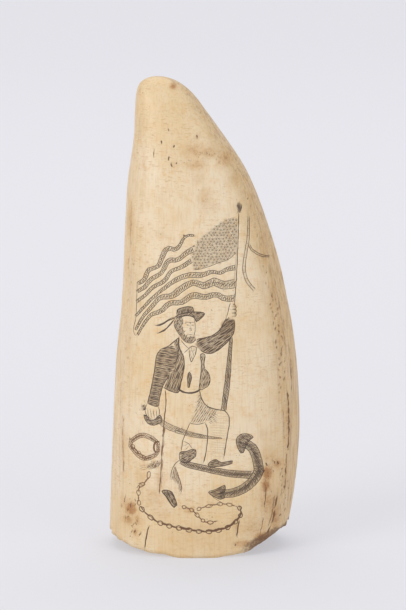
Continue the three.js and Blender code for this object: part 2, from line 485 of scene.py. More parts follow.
def draw_shirt_and_hands(pen):
    pen.line([(-7.9, 74.3), (-6.4, 72.6), (-5, 71.4)], 0.3, 0.8)
    pen.line([(-6.9, 69.8), (-5.4, 71.2), (-4, 72.3), (-2.2, 71.6)], 0.3, 0.8)
    tie = [(-4.9, 71.3), (-4.9, 69), (-4.4, 66.9), (-3.5, 68.4), (-2.7, 70.4), (-2.6, 71.8)]
    pen.hatch(tie, 80, 0.5, 1.5, 0.26, 0.6)
    pen.line(tie, 0.3, 0.8)
    placket = [(-5, 63.7), (-5.6, 61.6), (-5.4, 58.4), (-5, 58.4), (-4.6, 60.2), (-4.2, 61.8)]
    pen.hatch(placket, 86, 0.3, 2, wash=0.7)
    pen.line(placket, 0.3, closed=True)
    pen.line([(-8.7, 58), (-7.2, 56.9), (-5.2, 56.5), (-3.2, 56.8), (-1.5, 57.6)], 0.75, 1)

    pen.line([(7.4, 82), (8, 84.4), (8.6, 86.6)], 0.3, 0.8)
    for z in (82.6, 83.8, 85):
        pen.line([(9.3, z + 0.5), (10.4, z + 0.6), (10.7, z), (10.3, z - 0.5), (9.2, z - 0.5)], 0.26, 0.8)

    pen.line([(-19.2, 52), (-19.8, 50), (-19, 47.9), (-17.4, 47)], 0.3, 0.8)
    pen.line([(-15.4, 51.6), (-14.9, 50.2), (-15.2, 48.6)], 0.3, 0.8)
    for finger in range(4):
        x = -18.9 + 0.95 * finger
        pen.line([(x, 50.4), (x + 0.1, 49), (x + 0.35, 47.6)], 0.24, 0.75)


def draw_trousers(pen):
    pen.line([(-13, 57.2), (-12.8, 53), (-13.3, 48), (-13.7, 43)], 0.5, 0.75, 0.6)
    seam = [(-13.5, 45), (-13.9, 40), (-14.2, 36), (-14.5, 30), (-14.9, 25), (-15, 22)]
    pen.line(seam, 0.36, 0.5, 0.7)
    pen.groove(seam, 0.9, 0.5, 0.8, 0.12)
    pen.groove([(x + 0.35, z - 0.6) for x, z in seam[:-1]], 0.7, 0.35, 0.9, 0.12)
    pen.line([(-4.8, 46.4), (-6, 43.6), (-7.2, 40.4), (-7.7, 36.9)], 0.34, 0.8, 0.3)
    pen.line([(-7.9, 34), (-9.6, 32.6), (-10.9, 30.2), (-11.2, 27.5)], 0.36, 0.75, 0.6)
    pen.line([(-7, 40.2), (-5.4, 39.5), (-3.8, 37.6)], 0.28, 0.7, 0.3)
    for points in ([(-6.9, 38.6), (-5.6, 39.2)], [(-6.4, 37.4), (-5.2, 38.4)]):
        pen.line(points, 0.24, 0.6, 0.3)
    pen.line([(-1.6, 57.4), (-0.7, 54.2), (1.4, 51.9), (4.8, 50.9), (6.8, 50.5), (8.1, 48.8),
              (8.3, 46.2), (7.8, 43), (7.2, 39.5), (6.8, 36.6), (6.5, 34.6)], 0.42)
    pen.line([(0.2, 46.6), (1, 44.5), (1.1, 41.5), (0.8, 38.5), (0.3, 35.5), (-0.3, 33)], 0.4)
    thigh = [(-1.8, 56.8), (-0.9, 54), (1.4, 51.8), (4.4, 50.7), (3.4, 49.4), (1.2, 47.2), (-1.8, 46.5),
             (-4.7, 46.5), (-3.2, 50), (-2.1, 53.5)]
    pen.hatch(thigh, 57, 0.62, 2.4, 0.34, 0.7, wash=0.2)
    pen.hatch([(1.6, 49.5), (4.4, 50), (3.8, 47), (1.4, 45.8)], -32, 0.6, 2, 0.26, 0.7)
    pen.line([(-4.8, 46.4), (-2.4, 46), (0.2, 46.6)], 0.3, 0.7)
    shin = [(4.6, 50.2), (6.8, 50), (7.8, 48.4), (8, 46), (7.4, 42.4), (6.6, 38), (6.2, 35),
            (3, 34.8), (2.2, 38), (2.6, 42), (2.2, 45.4), (3.6, 48.2)]
    pen.hatch(shin, -4, 0.8, 2.2, 0.22, 0.22, 0.4, gap=0.6)
    pen.hatch([(-9.9, 31.4), (-10.8, 29), (-11, 27.2), (-9.6, 26.6), (-8.6, 25), (-8, 22.6),
               (-7.5, 24.6), (-8.4, 27.6), (-9.2, 30.2)], 78, 0.5, 1.8, 0.32, 0.75, 0.5, wash=0.45)
    pen.line([(-9.9, 31.6), (-9.1, 29.6), (-8.2, 27), (-7.5, 24.2), (-7.9, 22.4)], 0.3, 0.75, 0.5)


def draw_shoes(pen):
    standing = [(-14.2, 22.9), (-12.6, 23.3), (-10.9, 22.7), (-9.9, 20.6), (-9.2, 18.2), (-10.2, 17.4),
                (-11.6, 19), (-12.9, 21.2)]
    pen.hatch(standing, -62, 0.34, 2.4, ink=0.95, wash=0.6)
    pen.line(standing, closed=True)
    raised = [(1.2, 32.3), (2.4, 33.6), (4, 34), (5.6, 33), (9.4, 33.5), (9.2, 32.6), (7, 31.9),
              (4, 31.6), (1.9, 31.4)]
    pen.hatch(raised, 6, 0.34, 2, ink=0.95, wash=0.6)
    pen.line(raised, 0.3, closed=True)


def draw_cutlass(pen):
    guard = [(-20.2, 48.3), (-19.7, 46.4), (-17.9, 45.1), (-15.8, 45.5), (-14.1, 46.6), (-14.7, 48.8),
             (-15.7, 48), (-16.8, 46.9), (-18.4, 46.9), (-19.3, 48.3)]
    pen.hatch(guard, 20, 0.34, 1.6, wash=0.6)
    pen.line(guard, 0.34, closed=True)
    pommel = [(-21.1, 51.5), (-19.8, 51.7), (-19.4, 50.2), (-20.4, 49.8)]
    pen.hatch(pommel, 30, 0.34, wash=0.5)
    blade = [(-14.4, 46.3), (-12, 45), (-9, 43.9), (-6, 43), (-3, 42.3), (0, 41.8),
             (3, 41.5), (5.8, 41.3)]
    pen.band(blade, [1.9, 2, 1.7, 1.4, 0.8, 0.15], 62, 0.6, 0.26, 0.5, 0.15, outline=0.3, wash=0.3)
    pen.hatch([(-10, 44.8), (-5.6, 43.6), (0, 42.3), (0, 41.4), (-5.4, 42.3), (-9.4, 43.4)],
              -16, 0.4, 2.2, 0.3, 0.75)


def draw_anchor(pen):
    stock = [(-8.2, 36.3), (-5.8, 36.8), (-4.2, 37.5), (-2.9, 37.3), (-2.9, 35.2), (-4.4, 34),
             (-5.2, 33), (-7.9, 33.4)]
    pen.hatch(stock, 28, 0.36, 2, wash=0.6)
    pen.line(stock, 0.36, closed=True)
    shank = [(-7.8, 33.4), (-5.2, 32.2), (-1.6, 31.4), (3, 30.3), (9, 29.1), (15.6, 28.3)]
    pen.band(shank, [1.9, 2, 2.1, 2.3, 2.6], 68, 0.46, 0.3, 0.7, outline=0.32, wash=0.5)
    pen.band(shank, [1, 1.3, 1.6], 24, 0.9, 0.28, 0.7, outline=0)
    arm = [(13.4, 39.4), (15.6, 38), (17.1, 35.4), (17.9, 32), (18.1, 29.2), (16.8, 26.8),
           (14.6, 24.7), (11.8, 23.1), (8.5, 22.3), (5.2, 22.5)]
    pen.band(arm, [2.8, 3, 3.1, 3.3, 3.1, 2.9, 2.4], 70, 0.46, 0.3, 0.7, outline=0.32, wash=0.5)
    pen.band(arm, [1.6, 2, 2, 1.6], 22, 0.9, 0.28, 0.7, outline=0)
    pen.hatch([(18.8, 32), (20.3, 29.2), (18.2, 26.8), (17.6, 29.4)], 60, 0.36, wash=0.6)
    upper = [(10.6, 40.6), (12, 42.3), (14.6, 42.4), (16.4, 41.2), (15.1, 40.3), (14, 38.6),
             (13, 36.2), (12.2, 36), (11.2, 37.8)]
    pen.hatch(upper, -38, 0.36, 2.2, wash=0.6)
    pen.line(upper, 0.34, closed=True)
    lower = [(1.4, 22.8), (4.2, 23.9), (6.8, 25.2), (7, 23.6), (6.4, 22.2), (6.7, 20.7), (5.5, 20.3),
             (3.4, 21.2)]
    pen.hatch(lower, 18, 0.36, 2.2, wash=0.6)
    pen.line(lower, 0.34, closed=True)


def draw_rope_and_chain(pen):
    coil = [(-24.6, 38.6), (-22.4, 40.6), (-20.2, 41.4), (-17.6, 40.6), (-15.6, 39), (-15.8, 35.8),
            (-18.2, 34), (-20.8, 33.6), (-23.4, 35.4), (-24.8, 37)]
    pen.band(coil + coil[:1], [1.2, 1.6, 1, 1.5, 1.1], 48, 0.7, 0.34, 0.6, 0.7, outline=0.28, wash=0.3)
    pen.groove(coil, 0.9, 0.5, 0.8, 0.1)
    pen.chain([(-24.4, 37.6), (-22.4, 35.6), (-20.6, 34.4), (-19.6, 33.2)], 1.4, 1, 0.5, 0.8)
    pen.line([(-15, 39.8), (-16.4, 39.4), (-16.9, 37.6), (-16.3, 36), (-15, 36.2)], 0.7, 0.8, 0.5)
    pen.line([(-20.4, 33.4), (-18.4, 34.8), (-15.4, 35.4)], 0.3, 0.4, 0.7)
    knot = [(-19.6, 30.4), (-18.2, 32), (-16.6, 32.8), (-14.6, 32.6), (-15.4, 31), (-17.4, 30.2)]
    pen.hatch(knot, 58, 0.42, 2, 0.36, 0.8, 0.4, wash=0.35)
    pen.hatch([(-22.2, 31), (-19.8, 31.6), (-19.4, 29.6), (-21.2, 29.2)], 20, 0.7, 1.4, 0.3, 0.4, 0.8)
    down = [(-18.6, 29), (-18.8, 27), (-20.2, 25), (-21.8, 23.6), (-22.2, 20.6), (-21.9, 17.4)]
    pen.chain(down, 1.7, 1.2, 0.5, 0.8)
    pen.hatch([(-22.8, 24), (-20.8, 25.2), (-20.2, 24), (-21.8, 23)], 30, 0.4, 1.2, ink=0.6, rust=0.6)
    along = [(-21.6, 16.6), (-18.8, 14), (-15.5, 12), (-11, 10.8), (-6, 9.9), (-1, 9.2), (4, 9.4),
             (8.5, 10.8), (11, 12.8), (12.4, 15), (11.6, 17.6)]
    pen.chain(along, 1.7, 1.5, 0.8, 0.5)
    pen.groove([(x, z + 0.3) for x, z in along], 1.1, 0.6, 0.6, 0.12, gap=0.5)
    pen.chain([(-7.4, 17.8), (-4.8, 17), (-2.8, 15.4), (-1, 13.4), (1.2, 12.3), (4.2, 12.8)],
              1.6, 1.2, 0.6, 0.8)
    pen.chain([(-2.4, 16.8), (0.6, 17.9), (4.4, 18.6), (7.6, 18.6), (10.4, 17.8)], 1.6, 1.1, 0.5, 0.8)
    pen.line([(2.2, 21.8), (4.2, 20.2), (6.6, 18.8)], 0.3, 0.5, 0.6)


# ---- Pits, grooves and cracks of the old ivory ----------------------------------------------

# Cracks that run up from the broken rim, as points, width, ink, rust and depth.
CRACKS = [
    ([(-18.6, 10.4), (-19.2, 8.4), (-19.8, 5.2), (-20, 2.6)], 0.55, 1, 0.4, 0.35),
    ([(11.8, 12.6), (11.3, 10.4), (10.9, 7.2)], 0.5, 0.9, 0.6, 0.3),
    ([(20.7, 24), (20.6, 20.5), (20.2, 17)], 0.4, 0.8, 0.7, 0.25),
    ([(-26.6, 19.6), (-27, 17.4)], 0.4, 0.8, 0.7, 0.2),
]

# Lengthwise grooves at both edges of the engraved face, as points, width, ink, rust and the
# share of their pieces that end in a gap.
GROOVES = [
    ([(29.2, 72), (29.6, 62), (29.8, 52), (29.8, 40)], 0.5, 0.4, 1, 0.8),
    ([(27.9, 55), (28.3, 49), (28.4, 42), (28.1, 35)], 0.8, 0.7, 0.9, 0.3),
    ([(27.8, 34), (27.5, 28), (27, 21)], 0.7, 0.4, 1, 0.8),
    ([(26.4, 49), (26.8, 44), (26.9, 39)], 0.5, 0.3, 1, 0.8),
    ([(24.5, 20), (23.6, 14), (22.4, 9.5), (20.6, 6.4)], 0.9, 0.6, 0.8, 0.3),
    ([(23.6, 20), (22.8, 14), (21.6, 9.5)], 0.6, 0.4, 1, 0.8),
    ([(19.9, 13), (19.3, 9.6), (18.6, 6.2)], 0.6, 0.4, 1, 0.8),
    ([(26.2, 24), (25.8, 17), (25, 11)], 0.5, 0.3, 1, 0.8),
    ([(22.6, 99), (23.8, 92), (25.2, 84), (26.2, 78), (27.2, 70)], 0.45, 0.25, 1, 0.8),
    ([(20.6, 104), (22, 97), (23.4, 89)], 0.4, 0.2, 1, 0.8),
    ([(15.8, 121), (18, 113), (19.6, 106)], 0.5, 0.25, 1, 0.8),
    ([(-27.3, 46), (-27.5, 38), (-27.2, 27)], 0.7, 0.35, 1, 0.4),
    ([(-28.6, 60), (-28.8, 48), (-29, 36), (-28.8, 24)], 0.4, 0.18, 1, 0.8),
    ([(-24.6, 119), (-24.8, 112), (-25.2, 104)], 0.6, 0.25, 1, 0.8),
    ([(-25.6, 100), (-26.2, 90), (-27, 78)], 0.4, 0.2, 1, 0.8),
]

# Pits, as x, z and size.
PITS = [
    (-14.2, 139.5, 0.7), (-10, 138.2, 0.7), (-11.8, 134.2, 0.65), (-9.2, 132.6, 0.5),
    (-10.9, 132, 0.6), (-11.8, 143.3, 0.35), (-2.4, 141.2, 0.6), (20.9, 31.4, 0.6),
    (24.8, 31.2, 0.7), (23.6, 31.9, 0.5), (27.4, 28, 0.7), (26.9, 22.5, 0.7), (25.6, 12.6, 0.6),
    (10.4, 4.2, 0.5), (-23.4, 8, 0.7), (-24.8, 16.6, 0.5),
]

# Paths with small pits scattered along them, as points, breadth, spacing, size and ink.
SPECKLES = [
    ([(14.6, 121), (17.2, 111), (19.6, 100), (21.6, 91)], 1.6, 2.2, 0.6, 0.25),
    ([(22.4, 88.5), (23.4, 84), (24.4, 78), (25.3, 70), (26, 62), (26, 56)], 2.4, 1.1, 1, 0.3),
    ([(24.6, 88), (26, 79), (27.2, 66)], 2, 1.6, 0.5, 0.25),
    ([(26.6, 30), (27.4, 22), (27, 12)], 3, 0.9, 0.5, 0.4),
    ([(22.4, 33), (21.4, 27), (22, 20)], 3.4, 1, 0.5, 0.3),
    ([(-24.6, 105), (-25.4, 92), (-26, 76), (-26, 60)], 2.6, 2, 0.5, 0.22),
    ([(-25.4, 19), (-25.6, 13), (-23, 9), (-24, 6.4)], 4.6, 0.8, 0.6, 0.4),
    ([(-21, 56), (-22, 48), (-21.4, 42)], 3, 1.8, 0.4, 0.2),
    ([(-5, 133), (-1, 136), (3, 135), (6.5, 133)], 4, 0.9, 0.5, 0.22),
]


def draw_marks_of_age(pen):
    for crack in CRACKS:
        pen.line(*crack)
    for points, width, ink, rust, gap in GROOVES:
        pen.groove(points, width, ink, rust, gap=gap)
    for x, z, size in PITS:
        pen.dot((x, z), size, 0.8, 0.8)
    pen.groove([(-16.6, 136.9), (-16.9, 135.6), (-16.8, 134.4)], 0.5, 0.7, 0.7)
    for path in SPECKLES:
        pen.speckle(*path)


def engrave():
    """All the cuts in the front of the tooth, and the washes of ink among them."""
    pen = Graver(seed=7)
    draw_flag(pen)
    draw_pole_and_cord(pen)
    draw_head(pen)
    draw_jacket(pen)
    draw_shirt_and_hands(pen)
    draw_trousers(pen)
    draw_shoes(pen)
    draw_cutlass(pen)
    draw_anchor(pen)
    draw_rope_and_chain(pen)
    draw_marks_of_age(pen)
    return pen


# ---- Mesh of the tooth --------------------------------------------------------------------

COLUMNS = 240
ROWS = 150
ROW_CROWDING = 1.35
BLOCK_ROW = 12          # first row of the engraved block, below the tip
BLOCK_MARGIN = 10       # columns left outside the block at each side of the front half
BLOCK_WIDTH = 0.95      # share of the half width that the cuts may use
BLOCK_TOP_GAP = 1       # bare strip below the block's first row
BLOCK_FOOT_GAP = 0.4    # bare strip above the broken rim
CAVITY_ROWS = 26
CAVITY_TAPER = 0.7
RIM_SHARES = (0.33, 0.67)
RIM_ROUGHNESS = (0.5, 1.3)           # height and size of the crumbs on the broken face
WAVES = ((0.10, 9), (0.05, 3))       # heights and sizes of the low waves of the outer skin
TEETH = ((0.40, 9), (0.24, 24))      # heights of the break's small teeth, and how close they stand
TEETH_REACH = 4                      # height over which the teeth die away

columns = [2 * math.pi * i / COLUMNS for i in range(COLUMNS)]
BLOCK_LEFT = COLUMNS // 2 + BLOCK_MARGIN
BLOCK_RIGHT = COLUMNS - BLOCK_MARGIN


def row_level(row):
    return HEIGHT * (1 - (row / ROWS) ** ROW_CROWDING)


def outward(angle):
    return Vector((math.cos(angle), math.sin(angle), 0))


def weathered(angle, z):
    """Point of the outer skin, with the low waves of a hand-scraped surface."""
    point = section_point(angle, z)
    waves = sum(height * noise.noise(point / size) for height, size in WAVES)
    return point + outward(angle) * (ridge(angle, z) + waves)


def broken_level(angle, level):
    """Height of a row near the root, with the small teeth of the break where it is off the ground."""
    base = on_broken_root(angle, level)
    teeth = sum(height * noise.noise(outward(angle) * closeness) for height, closeness in TEETH)
    return base + teeth * smoothstep(rim_height(angle), 0.3, 2) * max(0.0, 1 - level / TEETH_REACH)


class ToothMesh:
    """Vertices and faces of the tooth, and what is painted on each vertex."""

    def __init__(self):
        self.points = []
        self.faces = []
        self.paint = {"ink": [], "rust": [], "wash": [], "cavity": []}

    def add(self, point, **paint):
        self.points.append(point)
        for name, values in self.paint.items():
            values.append(paint.get(name, 0.0))
        return len(self.points) - 1

    def ring(self, points, **paint):
        return [self.add(point, **paint) for point in points]

    def join(self, upper, lower, skip=range(0)):
        """Quads between two rings, apart from the columns to skip."""
        for column in range(COLUMNS):
            if column not in skip:
                after = (column + 1) % COLUMNS
                self.faces.append((upper[column], lower[column], lower[after], upper[after]))

    def close(self, ring, pole, upwards):
        for column in range(COLUMNS):
            after = (column + 1) % COLUMNS
            side = (ring[column], ring[after]) if upwards else (ring[after], ring[column])
            self.faces.append((pole, *side))


def in_block(place):
    x, z = place
    centre, half_width = section(z)
    if abs(x - centre) > BLOCK_WIDTH * half_width or z > row_level(BLOCK_ROW) - BLOCK_TOP_GAP:
        return False
    return z > on_broken_root(angle_at(x, z), 0) + BLOCK_FOOT_GAP


def triangulate_block(cuts, seeds, border):
    """Triangles of the front block in the picture plane, with the cuts' edges among their sides."""
    verts = [Vector(seed) for seed in seeds]
    edges = list(border)
    for cut in cuts:
        path = cut["path"]
        last = len(path) - 1
        rails = ([], [], [])
        for k, (point, half) in enumerate(zip(path, cut["halves"])):
            tangent = (path[min(k + 1, last)] - path[max(k - 1, 0)]).normalized()
            normal = Vector((-tangent.y, tangent.x)) * half
            places = (point + normal, point, point - normal) if half > 0.01 else (point,)
            for number, rail in enumerate(rails):
                rail.append(len(verts) + min(number, len(places) - 1))
            verts.extend(places)
        for rail in rails:
            edges.extend(zip(rail, rail[1:]))
    return delaunay_2d_cdt(verts, edges, [], 1, 1e-5)


def tree_of(places):
    tree = kdtree.KDTree(len(places))
    for i, place in enumerate(places):
        tree.insert((place[0], place[1], 0), i)
    tree.balance()
    return tree


def wash_values(washes, places, tree):
    """Strength of the wash at each place."""
    values = [0.0] * len(places)
    for outline, strength in washes:
        middle = sum(outline, Vector((0, 0))) / len(outline)
        reach = max((corner - middle).length for corner in outline)
        for _, i, _ in tree.find_range((middle.x, middle.y, 0), reach):
            if strength > values[i] and inside(places[i], outline):
                values[i] = strength
    return values


def ink_values(cuts, places, tree):
    """Ink, rust and depth at each place: full on a cut's centre line and none at its edges."""
    ink = [0.0] * len(places)
    rust = [0.0] * len(places)
    depth = [0.0] * len(places)
    for cut in cuts:
        path, halves = cut["path"], cut["halves"]
        for start, end, half_a, half_b in zip(path, path[1:], halves, halves[1:]):
            span = end - start
            middle = (start + end) / 2
            reach = span.length / 2 + max(half_a, half_b)
            for (x, z, _), i, _ in tree.find_range((middle.x, middle.y, 0), reach):
                offset = Vector((x, z)) - start
                t = min(max(offset.dot(span) / max(span.length_squared, 1e-9), 0.0), 1.0)
                half = half_a + (half_b - half_a) * t
                if half < 1e-4:
                    continue
                share = 1 - (offset - span * t).length / half
                if share * cut["ink"] > ink[i]:
                    ink[i] = share * cut["ink"]
                    rust[i] = cut["rust"]
                depth[i] = max(depth[i], share * cut["depth"])
    return ink, rust, depth


def engrave_block(mesh, rings):
    """Replaces the front of the outer grid by triangles that follow the engraving."""
    block_columns = range(BLOCK_LEFT, BLOCK_RIGHT + 1)
    block_rows = range(BLOCK_ROW, ROWS + 1)
    seeds = []
    owners = []
    number = {}
    for row in block_rows:
        for column in block_columns:
            z = broken_level(columns[column], row_level(row))
            number[row, column] = len(seeds)
            seeds.append(section_point(columns[column], z).xz)
            owners.append(rings[row][column])
    border = []
    for row in (BLOCK_ROW, ROWS):
        border.extend((number[row, c], number[row, c + 1]) for c in block_columns[:-1])
    for column in (BLOCK_LEFT, BLOCK_RIGHT):
        border.extend((number[r, column], number[r + 1, column]) for r in block_rows[:-1])

    pen = engrave()
    cuts = [cut for cut in pen.cuts if all(in_block(place) for place in cut["path"])]
    places, _, triangles, origins, _, _ = triangulate_block(cuts, seeds, border)
    tree = tree_of(places)
    washes = wash_values(pen.washes, places, tree)
    values = zip(places, origins, washes, *ink_values(cuts, places, tree))
    indices = []
    for place, sources, wash, ink, rust, depth in values:
        angle = angle_at(*place)
        point = weathered(angle, place.y) - outward(angle) * depth
        seed = next((source for source in sources if source < len(seeds)), None)
        if seed is None:
            indices.append(mesh.add(point, ink=ink, rust=rust, wash=wash))
            continue
        owner = owners[seed]
        if depth:
            mesh.points[owner] = point
        for name, value in (("ink", ink), ("rust", rust), ("wash", wash)):
            mesh.paint[name][owner] = value
        indices.append(owner)
    mesh.faces.extend(tuple(indices[i] for i in triangle) for triangle in triangles)


def build_tooth_mesh():
    mesh = ToothMesh()
    tip = mesh.add(section_point(0, HEIGHT))
    rings = [None]
    for row in range(1, ROWS + 1):
        level = row_level(row)
        rings.append(mesh.ring([weathered(a, broken_level(a, level)) for a in columns]))
    mesh.close(rings[1], tip, True)
    for row in range(1, ROWS):
        skip = range(BLOCK_LEFT, BLOCK_RIGHT) if row >= BLOCK_ROW else range(0)
        mesh.join(rings[row], rings[row + 1], skip)
    engrave_block(mesh, rings)

    cavity = []
    for row in range(CAVITY_ROWS):
        climbed = row / CAVITY_ROWS
        share = (1 - climbed) ** CAVITY_TAPER
        points = []
        for angle in columns:
            level = broken_level(angle, CAVITY_HEIGHT * climbed)
            points.append(section_point(angle, 0, share, WALL_SIDE, WALL_FACE, level))
        cavity.append(mesh.ring(points, cavity=min(1.0, 4 * climbed)))
    outer = [mesh.points[i] for i in rings[ROWS]]
    inner = [mesh.points[i] for i in cavity[0]]
    previous = rings[ROWS]
    for share in RIM_SHARES:
        ring = mesh.ring([rim_point(a, b, share) for a, b in zip(outer, inner)])
        mesh.join(previous, ring)
        previous = ring
    mesh.join(previous, cavity[0])
    for upper, lower in zip(cavity, cavity[1:]):
        mesh.join(upper, lower)
    end = mesh.add(section_point(0, 0, 0, WALL_SIDE, WALL_FACE, CAVITY_HEIGHT), cavity=1.0)
    mesh.close(cavity[-1], end, False)
    return mesh


def rim_point(outer, inner, share):
    """Point of the rough broken face between the outside and the cavity; it never goes below z = 0."""
    point = outer.lerp(inner, share)
    height, size = RIM_ROUGHNESS
    return point + Vector((0, 0, max(height * noise.noise(point / size), -point.z)))


def smooth_mesh(name, points, faces, material):
    data = bpy.data.meshes.new(name)
    data.from_pydata(points, [], faces)
    data.polygons.foreach_set("use_smooth", [True] * len(data.polygons))
    data.materials.append(material)
    return data


def add_object(name, data):
    thing = bpy.data.objects.new(name, data)
    bpy.context.scene.collection.objects.link(thing)
    return thing


def make_tooth():
    shape = build_tooth_mesh()
    points = [point * MM for point in shape.points]
    data = smooth_mesh("engraved_tooth", points, shape.faces, ivory_material())
    for name, values in (shape.paint | ageing_and_shade_of(data)).items():
        data.attributes.new(name, "FLOAT", "POINT").data.foreach_set("value", values)
    tooth = add_object("engraved_tooth", data)
    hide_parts("whale_tooth")
    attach(tooth, "root")
    return tooth


# ---- Ageing and painted shade: stains, streaks and grime of the ivory, with painted shade at its edges and above the raised rim ---

# Stains, as x, z, half width, half height, strength.
FRONT_STAINS = [
    (-10.3, 157.4, 1.6, 1.6, 1.2), (-19.5, 155, 4.5, 5, 0.25), (-2.4, 141, 1.6, 1.6, 0.6),
    (-3.6, 136.6, 4.6, 3.4, 0.72), (1.6, 135.8, 4.4, 3, 0.7), (6.6, 133.6, 3.4, 3.6, 0.78),
    (-3, 132, 4.6, 2.6, 0.68), (-9.8, 132.2, 2.6, 1.8, 0.55), (-1.6, 127.6, 3, 2.6, 0.58),
    (0.2, 121, 3.2, 6, 0.58), (10, 127, 2.6, 3, 0.6), (-20, 131, 0.9, 6, 0.5),
    (-14, 109, 4, 2, 0.45), (3, 118, 3, 2, 0.5), (17, 78, 3, 2, 0.4),
    (19, 62, 4, 3, 0.4), (16, 48, 4, 2, 0.4), (20, 42, 3, 3, 0.5),
    (-20.6, 122, 1.8, 2, 0.4), (-14, 121, 3, 2.4, 0.35), (-24.6, 112, 1.4, 9, 0.7),
    (15.6, 119, 1.6, 6, 0.5), (19.8, 103, 1.8, 9, 0.6), (22.8, 88, 1.8, 8, 0.65),
    (25.4, 74, 1.8, 10, 0.65), (26, 58, 1.8, 7, 0.6), (18, 92, 2.5, 3, 0.3),
    (-24.6, 92, 2.4, 10, 0.45), (-25.6, 72, 2.4, 12, 0.4), (-27.3, 36, 1.2, 12, 0.6),
    (28, 45, 1.5, 10, 0.8), (27.4, 27, 2.5, 8, 0.55), (20.9, 28.5, 2.2, 3.4, 1.25),
    (20.6, 24, 2, 3, 1.2), (24.6, 31, 2.4, 2.6, 0.9), (21, 34, 4, 5, 0.6),
    (21.6, 18, 4.5, 7, 0.8), (23.8, 13, 2.4, 7, 0.9), (17, 10, 7, 6, 0.6),
    (13, 4.6, 5, 1.8, 0.9), (19.6, 6, 4, 2.6, 1.1), (10.8, 11, 2, 4, 0.7),
    (-24.8, 15.6, 2.6, 3, 1.2), (-25.6, 11.6, 3, 2.4, 0.9), (-22.4, 12, 2, 2.4, 0.8),
    (-23.4, 7.6, 1.6, 2.2, 0.8), (-27, 17, 2, 4, 0.6), (-17, 20, 5, 6, 0.6),
    (-14.8, 26, 2.6, 6, 0.6), (-14, 15, 5, 3.4, 0.55), (-5.4, 16.6, 2.4, 1.6, 0.75),
    (1, 10.5, 10, 3, 0.5), (-21, 27, 3, 6, 0.5), (-2, 6, 22, 9, 0.4),
]
BACK_STAINS = [
    (20, 26, 4, 9, 0.8), (-22, 20, 4, 9, 0.7), (-4, 128, 5, 8, 0.6),
    (6, 96, 3, 14, 0.4), (-14, 60, 4, 16, 0.45), (10, 12, 8, 5, 0.6),
    (-9, 9, 6, 4, 0.5), (21, 70, 3, 16, 0.5),
]
SIDE_GRAIN_AND_SHADE = (0.62, 0.97)        # shares of the half width where the streaks and the painted edge shade begin and are full
RIM_DIRT_AND_SHADE_HEIGHT = 2.6            # height of the grime and painted shade above the broken rim
HOLLOW_SIDE_SHARE = 0.35         # the hollow edge is less streaked, and less darkened by painted shade, than the convex one


def blob(x, z, stain):
    centre_x, centre_z, half_width, half_height, strength = stain
    return strength * math.exp(-((x - centre_x) / half_width) ** 2 - ((z - centre_z) / half_height) ** 2)


def stain_at(x, y, z):
    front = smoothstep(-y, -4, 6)
    back = smoothstep(y, -4, 6)
    return max(front * max(blob(x, z, spot) for spot in FRONT_STAINS),
               back * max(blob(x, z, spot) for spot in BACK_STAINS))


def rim_dirt_and_shade(x, y, z, centre):
    """Brown band near the broken rim, partly grime and partly painted shade of the gap under the raised
    rim; thickest at the high break on the convex edge.
    """
    angle = math.atan2(y, x - centre)
    above = z - broken_level(angle, 0)
    share = 0.25 + 0.75 * smoothstep(x, 9, 17)
    return share * (1 - smoothstep(above, 0, RIM_DIRT_AND_SHADE_HEIGHT))


def ageing_and_shade_of(data):
    ageing_and_shade = {"stain": [], "grain_and_edge_shade": [], "rim_dirt_and_shade_mask": [], "warmth_and_edge_shade": []}
    for vertex in data.vertices:
        x, y, z = vertex.co / MM
        centre, half_width = section(z)
        across = abs(x - centre) / half_width
        side_share = HOLLOW_SIDE_SHARE if x < centre else 1.0
        ageing_and_shade["stain"].append(stain_at(x, y, z))
        # Streak mask, which also carries painted shade towards the edges, strongest on the convex side.
        ageing_and_shade["grain_and_edge_shade"].append(side_share * smoothstep(across, *SIDE_GRAIN_AND_SHADE))
        # Grime and painted shade of the gap under the raised rim, in a band above the broken rim.
        ageing_and_shade["rim_dirt_and_shade_mask"].append(rim_dirt_and_shade(x, y, z, centre) if z < 15 else 0.0)
        tip = smoothstep(z, 128, 158)
        root = 1 - smoothstep(z, 4, 40)
        # The yellow tip and warmer root are the ivory's own tone; the rise towards the edges, strongest on
        # the convex one, is partly painted shade.
        ageing_and_shade["warmth_and_edge_shade"].append(max(tip, 0.8 * root, side_share * smoothstep(across, 0.45, 1)))
    return ageing_and_shade


# ---- Material ------------------------------------------------------------------------------

